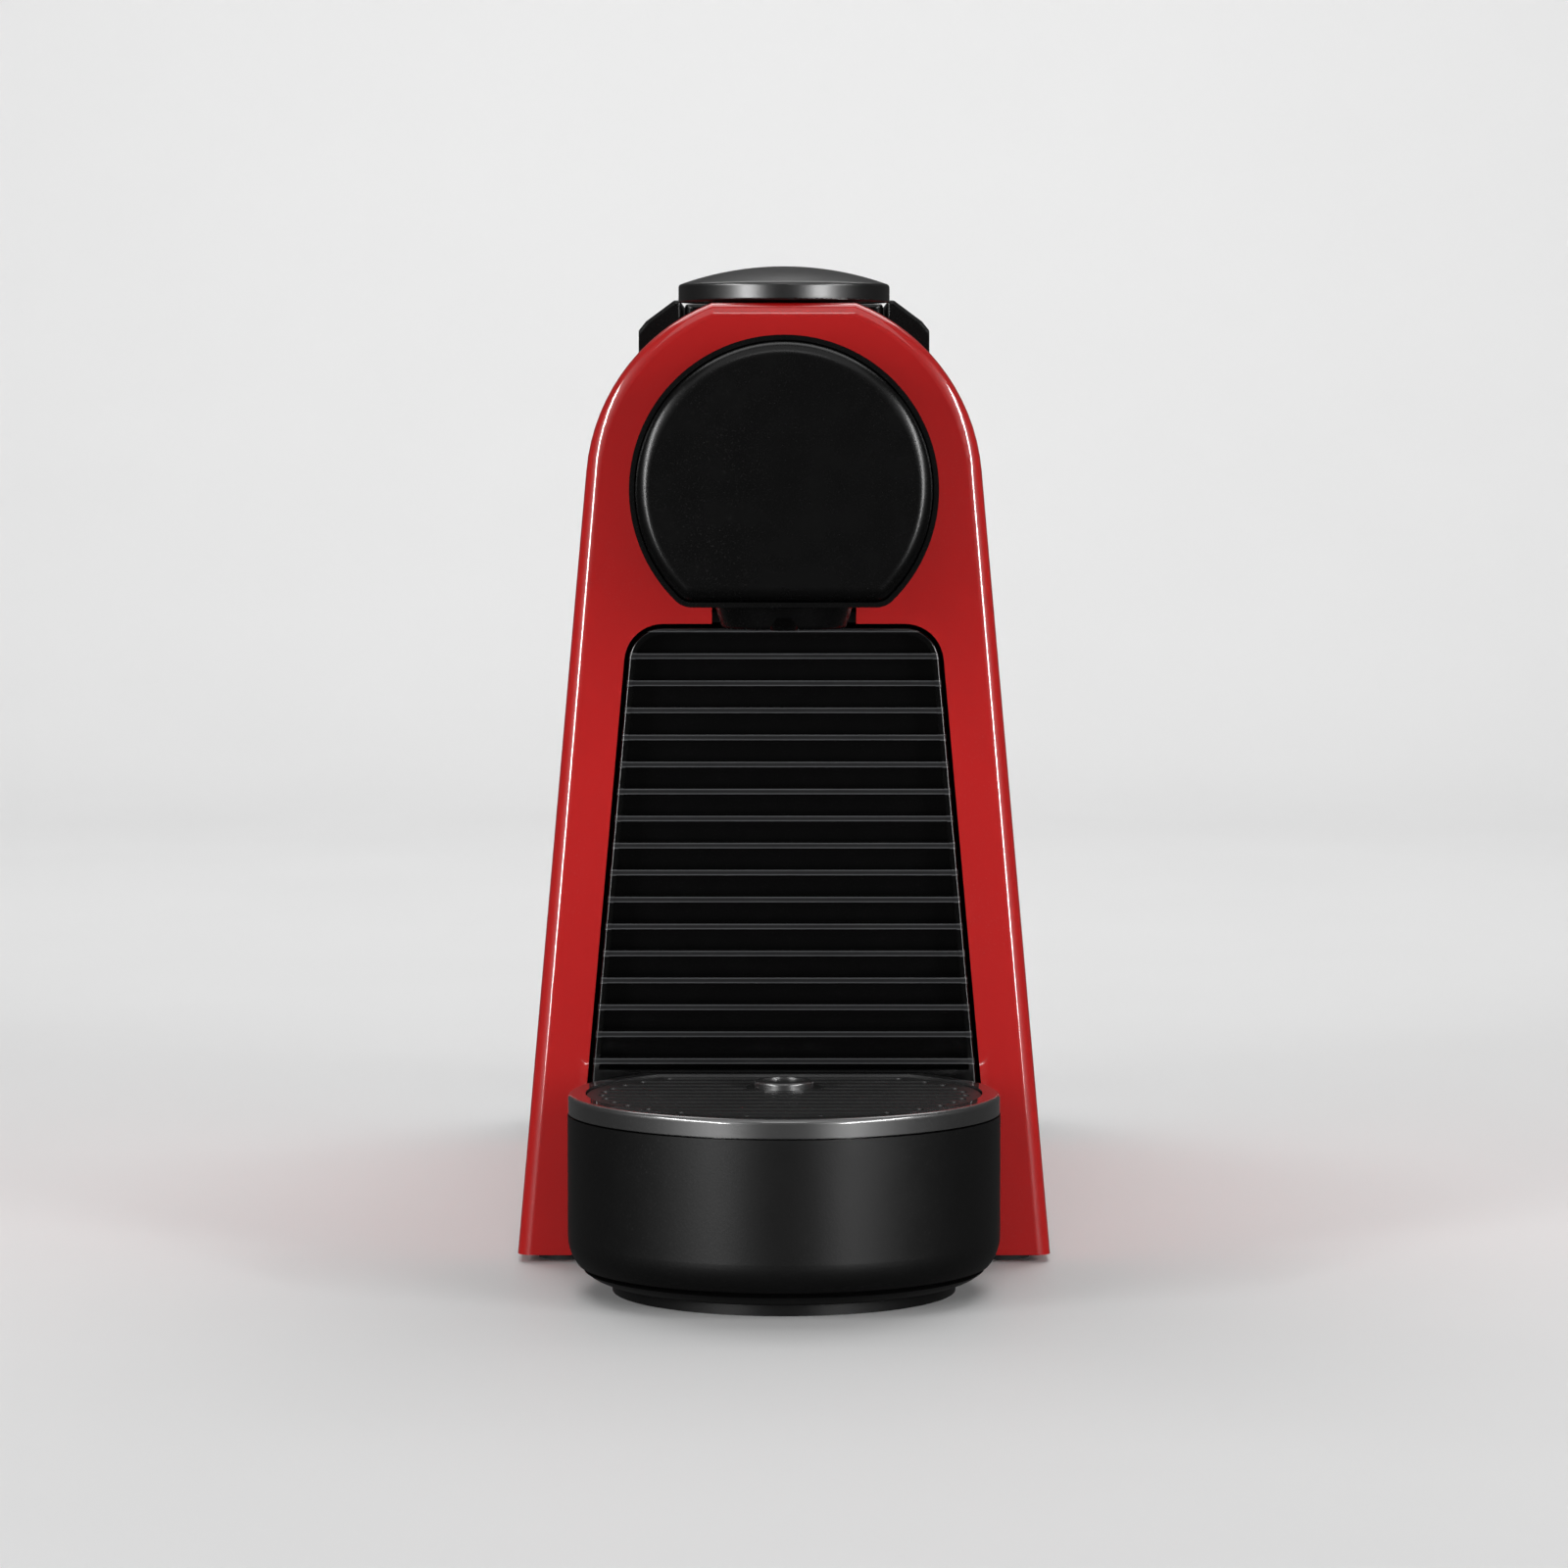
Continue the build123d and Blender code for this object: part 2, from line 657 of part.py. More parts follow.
rim_high = knob_low + 3.6
dome_rise = knob_high - rim_high
dome_radius = (knob_radius**2 + dome_rise**2) / (2 * dome_rise)
dome_mid = knob_high - dome_radius + sqrt(dome_radius**2 - (knob_radius / 2) ** 2)
with BuildPart() as lever_knob:
    with BuildSketch(Plane.XZ.offset(-knob_y)) as knob_profile:
        with BuildLine():
            Polyline((0, knob_high), (0, knob_low), (knob_radius, knob_low), (knob_radius, rim_high))
            ThreePointArc((knob_radius, rim_high), (knob_radius / 2, dome_mid), (0, knob_high))
        make_face()
        outer = knob_profile.vertices().group_by(Axis.X)[-1]
        fillet(outer.sort_by(Axis.Y)[0], 0.5)
        outer = knob_profile.vertices().filter_by(lambda v: v.Y > rim_high - 0.1 and v.X > 5)
        fillet(outer, 0.8)
    revolve(axis=Axis((0, knob_y, 0), (0, 0, 1)))

with BuildPart() as drive_pin:
    with BuildSketch(Plane.YZ.offset(-arm_out)):
        with Locations((crank_y, crank_z)):
            Circle(2.2)
    extrude(amount=2 * arm_out)

with BuildPart() as pivot_pins:
    for side in (-1, 1):
        with BuildSketch(Plane.YZ.offset(side * 16.4)):
            with Locations((pivot_y, pivot_z)):
                Circle(pivot_radius)
        extrude(amount=side * 9.4)
        with BuildSketch(Plane.YZ.offset(side * 23.5)):
            with Locations((pivot_y, pivot_z)):
                Circle(5)
        extrude(amount=side * 1.6)

# ================================================================ top housing and buttons
with BuildPart() as top_housing:
    for side in (-1, 1):
        with BuildSketch(at_y(cheek_front)):
            with BuildLine():
                Polyline(
                    (side * cheek_in, 184), (side * cheek_out, 184), (side * cheek_out, 193.6),
                    (side * (cheek_out - 1.6), 195.6), (side * (cheek_in + 1.6), cheek_top),
                    (side * cheek_in, cheek_top), close=True,
                )
            make_face()
        extrude(amount=-(cheek_back - cheek_front))
    with BuildSketch(at_y(cheek_front)):
        add(arch_outline(-0.1, 100))
    extrude(amount=-(cheek_back - cheek_front), mode=Mode.SUBTRACT)
    ridge = top_housing.edges().filter_by(lambda e: e.center().Z > 192)
    fillet(ridge, 0.9)
    with BuildSketch(Plane.XY.offset(183)):
        with Locations((0, (slot_front + slot_back) / 2)):
            RectangleRounded(2 * slot_half - 0.6, slot_back - slot_front - 0.6, 3.7)
            RectangleRounded(2 * cheek_in, slot_back - slot_front - 2.8, 2.8, mode=Mode.SUBTRACT)
    extrude(amount=10.6)
    with Locations((0, (deck_front + deck_back) / 2, deck_top)):
        Box(2 * cheek_in + 1, deck_back - deck_front, 2.2, align=(Align.CENTER, Align.CENTER, Align.MAX))
    with Locations((0, deck_front, deck_top)):
        Box(2 * cheek_in + 1, 1.8, 13.3, align=(Align.CENTER, Align.MIN, Align.MAX))
    with Locations((0, deck_back, deck_top)):
        Box(2 * cheek_in + 1, 1.6, 13.3, align=(Align.CENTER, Align.MAX, Align.MAX))
    for x in (-19.7, 19.7):
        for y in (button_y - 10, button_y + 10):
            with Locations((x, y, deck_top - 1)):
                Cylinder(1.2, 11.0, align=(Align.CENTER, Align.CENTER, Align.MAX))
    for x in (-button_x, button_x):
        with Locations((x, button_y, deck_top)):
            Cylinder(button_radius + 0.35, 20, mode=Mode.SUBTRACT)


def button_body(x):
    """Round key with a skirt below the deck and a short stem over its switch."""
    with BuildPart(mode=Mode.PRIVATE) as made:
        with Locations((x, button_y, deck_top - 3.4)):
            Cylinder(button_radius, 4.6, align=(Align.CENTER, Align.CENTER, Align.MIN))
        fillet(made.edges().group_by(Axis.Z)[-1], 0.8)
        with Locations((x, button_y, deck_top - 4.0)):
            Cylinder(button_radius + 1.6, 1.2, align=(Align.CENTER, Align.CENTER, Align.MIN))
            Cylinder(2.0, 3.4, align=(Align.CENTER, Align.CENTER, Align.MAX))
    return made.part


with BuildPart() as short_button:
    add(button_body(-button_x))

with BuildPart() as long_button:
    add(button_body(button_x))

board_top = deck_top - 12.0
with BuildPart() as button_board:
    with Locations((0, button_y, board_top)):
        Box(42, 26, 1.6, align=(Align.CENTER, Align.CENTER, Align.MAX))
    for x in (-button_x, button_x):
        with Locations((x, button_y, board_top)):
            Box(6, 6, 2.2, align=(Align.CENTER, Align.CENTER, Align.MIN))
            Cylinder(1.6, 3.4, align=(Align.CENTER, Align.CENTER, Align.MIN))

# ================================================================ rear shelf, heater, pump, board
with BuildPart() as rear_shelf:
    with Locations((0, 52, shelf_z)):
        Box(2 * half_width(shelf_z, 4.6), 90, 2.4, align=(Align.CENTER, Align.CENTER, Align.MIN))
    for x in (-34.0, 34.0):
        for y in (13.0, 91.0):
            with Locations((x, y, base_high)):
                Box(7, 7, shelf_z - base_high, align=(Align.CENTER, Align.CENTER, Align.MIN))
    for x in (-31.0, 31.0):
        with Locations((x, 95, shelf_z)):
            Box(4, 4.6, 24, align=(Align.CENTER, Align.CENTER, Align.MIN))
    with Locations((0, 94.6, shelf_z + 14)):
        Box(59.0, 1.9, 40, mode=Mode.SUBTRACT)

heater_low = shelf_z + 2.4
with BuildPart() as heater_block:
    with Locations((0, 38, heater_low + 4)):
        Box(52, 46, 34, align=(Align.CENTER, Align.CENTER, Align.MIN))
    fillet(heater_block.edges().filter_by(Axis.Y), 7)
    for x in (-20.0, 20.0):
        for y in (20.0, 56.0):
            with Locations((x, y, heater_low)):
                Cylinder(3, 6, align=(Align.CENTER, Align.CENTER, Align.MIN))
    with Locations((0, 56, heater_low + 37)):
        Cylinder(3.6, 7.5, align=(Align.CENTER, Align.CENTER, Align.MIN))
    with Locations((0, 56, heater_low + 34)):
        Cylinder(2.1, 30, align=(Align.CENTER, Align.CENTER, Align.MIN), mode=Mode.SUBTRACT)
    with BuildSketch(at_y(10)):
        with Locations((-16, heater_low + 14), (16, heater_low + 14)):
            Circle(4.2)
    extrude(amount=-60, mode=Mode.SUBTRACT)

with BuildPart() as heater_rods:
    with BuildSketch(at_y(11)):
        with Locations((-16, heater_low + 14), (16, heater_low + 14)):
            Circle(4.1)
    extrude(amount=-54)

with BuildPart() as thermostat:
    with Locations((-14, 34, heater_low + 38)):
        Cylinder(7, 4, align=(Align.CENTER, Align.CENTER, Align.MIN))
        Cylinder(4, 6.5, align=(Align.CENTER, Align.CENTER, Align.MIN))

with BuildPart() as pump_body:
    with BuildSketch(at_y(28)):
        with Locations((pump_x, pump_z)):
            Circle(8.5)
    extrude(amount=-58)
    with BuildSketch(at_y(20)):
        with Locations((pump_x, pump_z)):
            Circle(3.2)
    extrude(amount=-72)

with BuildPart() as pump_coil:
    with BuildSketch(at_y(42)):
        with Locations((pump_x, pump_z)):
            RectangleRounded(34, 38, 4)
            Circle(8.6, mode=Mode.SUBTRACT)
    extrude(amount=-32)

with BuildPart() as pump_mounts:
    for y in (31.0, 79.0):
        with BuildSketch(at_y(y)):
            with Locations((pump_x, pump_z)):
                Circle(13)
                Circle(8.6, mode=Mode.SUBTRACT)
        extrude(amount=-6)

with BuildPart() as pump_bracket:
    for y in (32.5, 80.5):
        with BuildSketch(at_y(y)):
            with Locations((pump_x, (pump_z + base_high) / 2 + play)):
                Rectangle(34, pump_z - base_high)
            with Locations((pump_x, pump_z)):
                Circle(13.1, mode=Mode.SUBTRACT)
        extrude(amount=-3)
    with Locations((pump_x, 58, base_high + play)):
        Box(34, 51, 2, align=(Align.CENTER, Align.CENTER, Align.MIN))

with BuildPart() as flow_meter:
    with Locations((17, 84, base_high + play)):
        Cylinder(11, 15, align=(Align.CENTER, Align.CENTER, Align.MIN))
        Cylinder(7, 18, align=(Align.CENTER, Align.CENTER, Align.MIN))

with BuildPart() as inlet_hose:
    with BuildLine():
        FilletPolyline(
            (0, valve_y, hose_z), (17, valve_y - 9, hose_z), (17, 95.3, hose_z), radius=4
        )
    with BuildSketch(Plane((0, valve_y, hose_z), z_dir=(17, -9, 0))):
        Circle(2.4)
        Circle(1.5, mode=Mode.SUBTRACT)
    sweep()

with BuildPart() as pump_hose:
    with BuildLine():
        FilletPolyline(
            (17, 84, 21.6), (17, 84, 30), (17, 99, pump_z), (pump_x, 99, pump_z),
            (pump_x, 92.3, pump_z), radius=4,
        )
    with BuildSketch(Plane((17, 84, 21.6), z_dir=(0, 0, 1))):
        Circle(2.4)
        Circle(1.5, mode=Mode.SUBTRACT)
    sweep()

with BuildPart() as pressure_hose:
    with BuildLine():
        FilletPolyline(
            (pump_x, 19.7, pump_z), (pump_x, 8, pump_z), (pump_x, 4.2, 90), (pump_x, 4.2, heater_low + 14),
            (0, 4.2, heater_low + 22), (0, 14.6, heater_low + 22), radius=3,
        )
    with BuildSketch(Plane((pump_x, 19.7, pump_z), z_dir=(0, -1, 0))):
        Circle(2.2)
        Circle(1.3, mode=Mode.SUBTRACT)
    sweep()

with BuildPart() as main_board:
    with Locations((0, 94.6, shelf_z + 15)):
        Box(57, 1.6, 56, align=(Align.CENTER, Align.CENTER, Align.MIN))
    with Locations((-14, 93.8, shelf_z + 44)):
        Box(20, 14, 18, align=(Align.CENTER, Align.MAX, Align.MIN))
    with Locations((14, 93.8, shelf_z + 48)):
        Box(14, 12, 16, align=(Align.CENTER, Align.MAX, Align.MIN))
    for x in (-18.0, 2.0, 18.0):
        with Locations((x, 93.8, shelf_z + 24)):
            Box(8, 9, 11, align=(Align.CENTER, Align.MAX, Align.MIN))

# ================================================================ water tank
with BuildPart() as water_tank:
    with BuildSketch(at_y(tank_front)):
        add(arch_outline(0.6, tank_low, high_inset=arch_flat_z - tank_rim))
    extrude(amount=-(back_y - tank_front))
    fillet(water_tank.faces().sort_by(Axis.Y)[-1].edges().sort_by(Axis.Z)[:-1], 5)
    with BuildSketch(at_y(tank_front + tank_wall)):
        add(arch_outline(0.6 + tank_wall, tank_low + tank_wall, high_inset=arch_flat_z - tank_rim - 6))
    extrude(amount=-(back_y - tank_front - 2 * tank_wall), mode=Mode.SUBTRACT)
    with Locations((0, valve_y, tank_low)):
        Cylinder(5.4, 10, mode=Mode.SUBTRACT)

with BuildPart() as tank_valve:
    with Locations((0, valve_y, tank_low - 3.4)):
        Cylinder(5.2, 9, align=(Align.CENTER, Align.CENTER, Align.MIN))
    with Locations((0, valve_y, tank_low + tank_wall + 0.1)):
        Cylinder(8, 1.6, align=(Align.CENTER, Align.CENTER, Align.MIN))
    with Locations((0, valve_y, tank_low - 3.4)):
        Cylinder(3.4, 7.6, align=(Align.CENTER, Align.CENTER, Align.MIN), mode=Mode.SUBTRACT)
    with Locations((0, valve_y, tank_low)):
        Cylinder(1.6, 20, mode=Mode.SUBTRACT)

with BuildPart() as dock_seal:
    with Locations((0, valve_y, dock_top - 2.7)):
        Cylinder(8.1, 2.5, align=(Align.CENTER, Align.CENTER, Align.MIN))
        Cylinder(5.6, 2.5, align=(Align.CENTER, Align.CENTER, Align.MIN), mode=Mode.SUBTRACT)

with BuildPart() as tank_lid:
    with BuildSketch(at_y(tank_front - 1.2)):
        add(arch_outline(0, 100))
    extrude(amount=-(back_y - tank_front + 1.0))
    fillet(tank_lid.faces().sort_by(Axis.Y)[-1].edges().sort_by(Axis.Z)[1:], 5)
    with BuildSketch(at_y(tank_front + 0.8)):
        add(arch_outline(2.0, 90))
    extrude(amount=-(back_y - tank_front - 3.0), mode=Mode.SUBTRACT)
    with BuildSketch(Plane.XY):
        with Locations((0, 130)):
            Rectangle(200, 100)
    extrude(amount=tank_rim + 0.4, mode=Mode.SUBTRACT)

# ================================================================ hand the pieces on
pieces = {
    "body_shell": body_shell,
    "base_plate": base_plate,
    "rubber_feet": rubber_feet,
    "base_screws": base_screws,
    "cord_gland": cord_gland,
    "rear_panel": rear_panel,
    "chassis": chassis,
    "pod_bin": pod_bin,
    "drip_tray": drip_tray,
    "tray_rim": tray_rim,
    "drip_grid": drip_grid,
    "grid_eyelet": grid_eyelet,
    "head_sleeve": head_sleeve,
    "head_cap": head_cap,
    "outlet_hood": outlet_hood,
    "outlet_nozzle": outlet_nozzle,
    "coffee_duct": coffee_duct,
    "pierce_plate": pierce_plate,
    "brew_guide": brew_guide,
    "pod_cage": pod_cage,
    "cage_needles": cage_needles,
    "brew_seal": brew_seal,
    "feed_tube": feed_tube,
    "lever_arm": lever_arm,
    "lever_knob": lever_knob,
    "drive_pin": drive_pin,
    "pivot_pins": pivot_pins,
    "top_housing": top_housing,
    "short_button": short_button,
    "long_button": long_button,
    "button_board": button_board,
    "rear_shelf": rear_shelf,
    "heater_block": heater_block,
    "heater_rods": heater_rods,
    "thermostat": thermostat,
    "pump_body": pump_body,
    "pump_coil": pump_coil,
    "pump_mounts": pump_mounts,
    "pump_bracket": pump_bracket,
    "flow_meter": flow_meter,
    "inlet_hose": inlet_hose,
    "pump_hose": pump_hose,
    "pressure_hose": pressure_hose,
    "main_board": main_board,
    "water_tank": water_tank,
    "tank_valve": tank_valve,
    "dock_seal": dock_seal,
    "tank_lid": tank_lid,
}

os.makedirs("parts", exist_ok=True)
for name, made in pieces.items():
    made.part.label = name
    export_step(made.part, f"parts/{name}.step")
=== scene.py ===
"""Pod coffee machine: finishes, printed key marks, floor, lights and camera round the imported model."""

import json
import math

import bmesh
import bpy
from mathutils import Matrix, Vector


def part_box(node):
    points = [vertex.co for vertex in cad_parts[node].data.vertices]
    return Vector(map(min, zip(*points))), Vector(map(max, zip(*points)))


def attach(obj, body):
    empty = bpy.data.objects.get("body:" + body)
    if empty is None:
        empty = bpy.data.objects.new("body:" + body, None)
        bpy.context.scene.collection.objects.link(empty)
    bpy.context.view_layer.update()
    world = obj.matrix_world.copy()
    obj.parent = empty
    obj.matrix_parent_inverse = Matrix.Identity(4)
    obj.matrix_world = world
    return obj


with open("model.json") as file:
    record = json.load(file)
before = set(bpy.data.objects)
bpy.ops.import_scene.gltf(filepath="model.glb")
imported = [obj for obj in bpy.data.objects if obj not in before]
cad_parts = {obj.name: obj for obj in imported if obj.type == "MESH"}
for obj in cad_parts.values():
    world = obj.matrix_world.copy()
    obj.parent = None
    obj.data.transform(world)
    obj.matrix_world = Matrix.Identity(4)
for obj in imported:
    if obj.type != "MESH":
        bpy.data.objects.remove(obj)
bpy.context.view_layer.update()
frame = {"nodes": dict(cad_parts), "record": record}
MM = 0.001
RIB_TOP_MM = 125.25
RIB_PITCH_MM = 5.565
RIB_PALE_DEPTH_MM = 1.2


# ---------------------------------------------------------------- shader writing
class Value:
    """A socket's value. Arithmetic on it adds Math nodes to its finish."""

    def __init__(self, finish, socket):
        self.finish = finish
        self.socket = socket

    def maths(self, operation, first, second):
        node = self.finish.node("ShaderNodeMath", {"operation": operation}, {0: first, 1: second})
        return Value(self.finish, node.outputs[0])

    def __add__(self, other):
        return self.maths("ADD", self, other)

    __radd__ = __add__

    def __sub__(self, other):
        return self.maths("SUBTRACT", self, other)

    def __rsub__(self, other):
        return self.maths("SUBTRACT", other, self)

    def __mul__(self, other):
        return self.maths("MULTIPLY", self, other)

    __rmul__ = __mul__

    def maths_of(self, operation):
        """An operation that takes only this value."""
        return self.maths(operation, self, 0.0)


class Finish:
    """A material built from nodes round one Principled shader."""

    def __init__(self, name):
        self.material = bpy.data.materials.new(name)
        self.material.use_nodes = True
        self.tree = self.material.node_tree
        self.tree.nodes.clear()
        self.shader = self.node("ShaderNodeBsdfPrincipled")
        self.node("ShaderNodeOutputMaterial", {}, {"Surface": self.shader.outputs[0]})
        self.place = self.node("ShaderNodeTexCoord").outputs["Object"]

    def node(self, kind, settings=None, inputs=None):
        """Adds a node: its settings first, then the value or link of each socket."""
        made = self.tree.nodes.new(kind)
        for key, value in (settings or {}).items():
            if key == "stops":
                self.set_stops(made.color_ramp, value)
            else:
                setattr(made, key, value)
        for key, value in (inputs or {}).items():
            self.feed(made.inputs[key], value)
        return made

    def feed(self, socket, value):
        """Links a value or socket, or sets a constant."""
        if isinstance(value, Value):
            value = value.socket
        if isinstance(value, bpy.types.NodeSocket):
            self.tree.links.new(value, socket)
        else:
            socket.default_value = value

    def set_stops(self, ramp, stops):
        while len(ramp.elements) < len(stops):
            ramp.elements.new(0.5)
        for element, (position, shade) in zip(ramp.elements, stops):
            element.position = position
            element.color = (shade, shade, shade, 1.0)

    def set(self, **inputs):
        """Sets the shader's sockets; underscores stand for spaces."""
        for key, value in inputs.items():
            self.feed(self.shader.inputs[key.replace("_", " ")], value)

    def stretched(self, x, y, z):
        """The object's coordinates, each multiplied by its own factor."""
        node = self.node("ShaderNodeVectorMath", {"operation": "MULTIPLY"}, {0: self.place, 1: (x, y, z)})
        return node.outputs[0]

    def noise(self, size_mm, detail=3.0, where=None):
        """Noise from 0 to 1 whose blotches are about size_mm across."""
        inputs = {"Vector": where or self.place, "Scale": 1.0 / (size_mm * MM), "Detail": detail}
        return Value(self, self.node("ShaderNodeTexNoise", {}, inputs).outputs["Fac"])

    def cells(self, size_mm):
        """Distance from the middle of the nearest cell of about size_mm."""
        inputs = {"Vector": self.place, "Scale": 1.0 / (size_mm * MM)}
        return Value(self, self.node("ShaderNodeTexVoronoi", {"feature": "F1"}, inputs).outputs["Distance"])

    def ramp(self, value, *stops):
        """Maps a value through (position, result) stops."""
        node = self.node("ShaderNodeValToRGB", {"stops": stops}, {"Fac": value})
        return Value(self, node.outputs["Color"])

    def blend(self, factor, low, high):
        """Colour that goes from low to high as factor goes from 0 to 1."""
        settings = {"data_type": "RGBA"}
        node = self.node("ShaderNodeMix", settings, {"Factor": factor})
        for socket, colour in zip([s for s in node.inputs if s.type == "RGBA"], (low, high)):
            self.feed(socket, colour if not isinstance(colour, tuple) else (*colour, 1.0))
        return [s for s in node.outputs if s.type == "RGBA"][0]

    def bump(self, height, depth_mm, strength=1.0):
        """Normal of a surface whose height varies by about depth_mm."""
        inputs = {"Height": height, "Distance": depth_mm * MM, "Strength": strength}
        return self.node("ShaderNodeBump", {}, inputs).outputs["Normal"]


def scratches(finish, size_mm, angle):
    """Hairline wiping marks that run one way: 1 on a mark and 0 elsewhere."""
    settings = {"vector_type": "POINT"}
    turned = finish.node("ShaderNodeMapping", settings, {"Vector": finish.place, "Rotation": angle})
    inputs = {0: turned.outputs[0], 1: (1.0, 0.03, 1.0)}
    long_way = finish.node("ShaderNodeVectorMath", {"operation": "MULTIPLY"}, inputs)
    marks = finish.noise(size_mm, 1.0, long_way.outputs[0])
    return finish.ramp(marks, (0.66, 0.0), (0.72, 1.0))


def dust(finish):
    """Fine settled dust, thickest in broad drifts."""
    specks = finish.ramp(finish.noise(0.45, 2.0), (0.62, 0.0), (0.72, 1.0))
    drift = finish.ramp(finish.noise(38.0, 2.0), (0.45, 0.0), (0.75, 1.0))
    return specks * drift


# ---------------------------------------------------------------- finishes
def red_lacquer():
    """Deep red gloss moulding with a faint wave and light wiping marks."""
    finish = Finish("red_gloss")
    tone = finish.ramp(finish.noise(60.0, 2.0), (0.3, 0.0), (0.7, 1.0))
    red = finish.blend(tone, (0.47, 0.0052, 0.0050), (0.49, 0.0064, 0.0060))
    marks = scratches(finish, 0.5, (0.0, 0.0, 0.5)) * 0.05 + dust(finish) * 0.12
    finish.set(
        Base_Color=finish.blend(dust(finish) * 0.04, red, (0.6, 0.4, 0.38)),
        Roughness=0.32 + marks + finish.noise(9.0) * 0.03,
        Normal=finish.bump(finish.noise(3.2, 2.0), 0.01, 0.08),
        Coat_Weight=0.92 + finish.noise(20.0) * 0.08,
    )
    finish.shader.inputs["Coat Roughness"].default_value = 0.03
    finish.shader.inputs["Specular IOR Level"].default_value = 0.2
    return finish.material


def moulded_black(name, shade, roughness, grain_mm, depth_mm, coat=0.0, gleam=0.5):
    """Black plastic with spark-eroded grain and faint wiping marks; gloss ones get a clear coat."""
    finish = Finish(name)
    tone = finish.ramp(finish.noise(25.0, 3.0), (0.3, 0.0), (0.7, 1.0))
    low = tuple(shade * c for c in (0.92, 0.92, 0.95))
    high = tuple(shade * c for c in (1.12, 1.12, 1.16))
    dusty = dust(finish)
    grain = finish.noise(grain_mm, 2.0) * 0.7 + finish.cells(grain_mm * 1.7) * 0.5
    marks = scratches(finish, 0.35, (0.0, 0.3, 0.9))
    finish.set(
        Base_Color=finish.blend(dusty * 0.05, finish.blend(tone, low, high), (0.20, 0.19, 0.18)),
        Roughness=roughness + finish.noise(6.0) * 0.06 + dusty * 0.15 + marks * 0.04,
        Normal=finish.bump(grain, depth_mm, 0.35),
    )
    if coat:
        finish.set(Coat_Weight=coat + finish.noise(15.0) * 0.05)
        finish.shader.inputs["Coat Roughness"].default_value = 0.04
    finish.shader.inputs["Specular IOR Level"].default_value = gleam
    return finish.material


def ribbed_black():
    """Black moulding with dark grooves. A paler tone stands in for the light the rib edges catch."""
    finish = Finish("ribbed_black")
    front = min(v.co.y for v in frame["nodes"]["pod_bin"].data.vertices)
    axes = finish.node("ShaderNodeSeparateXYZ", {}, {0: finish.place})
    depth = Value(finish, axes.outputs["Y"]) - front
    height = Value(finish, axes.outputs["Z"]) - RIB_TOP_MM * MM
    turn = (height * (1.0 / (RIB_PITCH_MM * MM)) + 0.5).maths_of("FRACT")
    off_centre = (turn - 0.5).maths_of("ABSOLUTE")
    near = finish.ramp(depth * (1.0 / (RIB_PALE_DEPTH_MM * MM)), (0.5, 1.0), (1.0, 0.0))
    edges = finish.ramp(off_centre, (0.0, 0.2), (0.055, 0.3), (0.08, 1.0), (0.105, 1.0), (0.12, 0.0))
    pale = near * edges * (0.85 + finish.noise(9.0) * 0.3)
    finish.set(
        Base_Color=finish.blend(pale, (0.0006, 0.0006, 0.0007), (0.075, 0.077, 0.080)),
        Roughness=0.16 + finish.noise(6.0) * 0.06,
        Normal=finish.bump(finish.noise(0.5, 2.0), 0.003, 0.35),
    )
    finish.shader.inputs["Specular IOR Level"].default_value = 0.35
    return finish.material


def grey_moulding():
    """Mid-grey inner plastic with sink marks and flow lines."""
    finish = Finish("grey_plastic")
    flow = finish.noise(14.0, 4.0, finish.stretched(1.0, 0.25, 1.0))
    finish.set(
        Base_Color=finish.blend(flow, (0.13, 0.13, 0.135), (0.20, 0.20, 0.205)),
        Roughness=0.5 + flow * 0.12,
        Normal=finish.bump(finish.noise(0.6, 2.0), 0.03, 0.3),
    )
    return finish.material


def soft_rubber():
    """Dark rubber with bloom and fine pores."""
    finish = Finish("rubber")
    bloom = finish.ramp(finish.noise(4.0, 4.0), (0.35, 0.0), (0.75, 1.0))
    pores = finish.cells(0.5)
    finish.set(
        Base_Color=finish.blend(bloom, (0.018, 0.018, 0.019), (0.045, 0.044, 0.043)),
        Roughness=0.72 + bloom * 0.15,
        Normal=finish.bump(pores, 0.04, 0.4),
    )
    return finish.material


def ground_steel():
    """Steel with fine turning lines and a little heat tint."""
    finish = Finish("steel")
    lines = finish.noise(0.4, 3.0, finish.stretched(1.0, 0.05, 1.0))
    tint = finish.ramp(finish.noise(12.0, 2.0), (0.3, 0.0), (0.8, 1.0))
    finish.set(
        Base_Color=finish.blend(tint, (0.56, 0.56, 0.58), (0.60, 0.57, 0.52)),
        Roughness=0.22 + lines * 0.2,
        Metallic=1.0,
        Normal=finish.bump(lines, 0.01, 0.3),
    )
    return finish.material


def cast_metal(name, low, high, roughness):
    """Cast or turned metal with a sandy skin."""
    finish = Finish(name)
    skin = finish.noise(0.8, 4.0)
    stain = finish.ramp(finish.noise(9.0, 3.0), (0.35, 0.0), (0.7, 1.0))
    finish.set(
        Base_Color=finish.blend(stain, low, high),
        Roughness=roughness + skin * 0.2,
        Metallic=1.0,
        Normal=finish.bump(skin, 0.05, 0.5),
    )
    return finish.material


def lacquered_board():
    """Green circuit board with track work under the lacquer."""
    finish = Finish("board")
    inputs = {"Vector": finish.stretched(420.0, 420.0, 420.0), "Scale": 0.6, "Mortar Size": 0.08}
    tracks = Value(finish, finish.node("ShaderNodeTexBrick", {"offset": 0.5}, inputs).outputs["Fac"])
    speck = finish.noise(2.0, 3.0)
    finish.set(
        Base_Color=finish.blend(tracks, (0.012, 0.085, 0.03), (0.03, 0.17, 0.06)),
        Roughness=0.28 + speck * 0.15,
        Normal=finish.bump(tracks, 0.03, 0.4),
    )
    return finish.material


